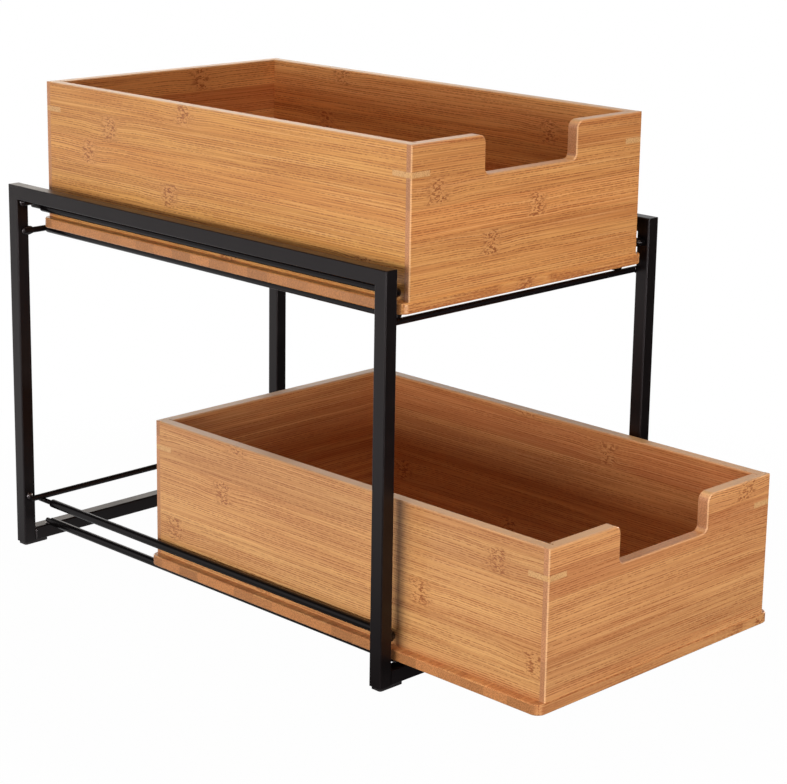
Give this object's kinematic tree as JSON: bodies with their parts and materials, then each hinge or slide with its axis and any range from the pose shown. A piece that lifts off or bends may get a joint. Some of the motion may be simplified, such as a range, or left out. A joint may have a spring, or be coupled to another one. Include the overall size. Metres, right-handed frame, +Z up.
{
  "type": "under sink organizer",
  "caption": "Two-tier pull-out organizer: bamboo drawers with finger notches that slide on sleeved steel rods in an open frame of black square tube.",
  "frame": {"origin": "centre of the footprint of the whole object, with the lower drawer pulled out, on the floor", "axes": "+X to the right seen from the front, +Y towards the back, +Z up; the drawers open towards -Y"},
  "size_m": [0.2586, 0.4984, 0.3419],
  "materials": {
    "frame_steel": "satin black powder coat",
    "wire_steel": "satin black powder coat",
    "sleeve_plastic": "smooth black plastic",
    "foot_plastic": "matte black",
    "bamboo": "clear satin lacquer over darkened bamboo",
    "bamboo_front": "clear satin lacquer over darkened bamboo",
    "bamboo_base": "clear satin lacquer over darkened bamboo",
    "bamboo_key": "clear satin lacquer over pale bamboo"
  },
  "bodies": {
    "frame": {"left_front_post": "frame_steel", "left_front_foot": "foot_plastic", "left_rear_post": "frame_steel", "left_rear_foot": "foot_plastic", "left_top_rail": "frame_steel", "right_front_post": "frame_steel", "right_front_foot": "foot_plastic", "right_rear_post": "frame_steel", "right_rear_foot": "foot_plastic", "right_top_rail": "frame_steel", "front_bottom_tube": "frame_steel", "rear_bottom_tube": "frame_steel", "upper_front_cross_wire": "wire_steel", "upper_rear_cross_wire": "wire_steel", "upper_stop_wire": "wire_steel", "lower_stop_wire": "wire_steel", "upper_left_support_rod": "wire_steel", "upper_left_support_sleeve": "sleeve_plastic", "upper_left_hold_down_rod": "wire_steel", "upper_left_hold_down_sleeve": "sleeve_plastic", "upper_right_support_rod": "wire_steel", "upper_right_support_sleeve": "sleeve_plastic", "upper_right_hold_down_rod": "wire_steel", "upper_right_hold_down_sleeve": "sleeve_plastic", "lower_left_support_rod": "wire_steel", "lower_left_support_sleeve": "sleeve_plastic", "lower_left_hold_down_rod": "wire_steel", "lower_left_hold_down_sleeve": "sleeve_plastic", "lower_right_support_rod": "wire_steel", "lower_right_support_sleeve": "sleeve_plastic", "lower_right_hold_down_rod": "wire_steel", "lower_right_hold_down_sleeve": "sleeve_plastic"},
    "upper_drawer": {"upper_drawer_front": "bamboo_front", "upper_drawer_back": "bamboo_front", "upper_drawer_left_side": "bamboo", "upper_drawer_right_side": "bamboo", "upper_drawer_base": "bamboo_base", "upper_drawer_corner_keys": "bamboo_key"},
    "lower_drawer": {"lower_drawer_front": "bamboo_front", "lower_drawer_back": "bamboo_front", "lower_drawer_left_side": "bamboo", "lower_drawer_right_side": "bamboo", "lower_drawer_base": "bamboo_base", "lower_drawer_corner_keys": "bamboo_key"}
  },
  "joints": [
    {"name": "upper_drawer_slide", "type": "slide", "parent": "frame", "child": "upper_drawer", "axis": [0, -1, 0], "range_m": [-0.005, 0.28]},
    {"name": "lower_drawer_slide", "type": "slide", "parent": "frame", "child": "lower_drawer", "axis": [0, -1, 0], "range_m": [-0.1228, 0.1622]}
  ]
}
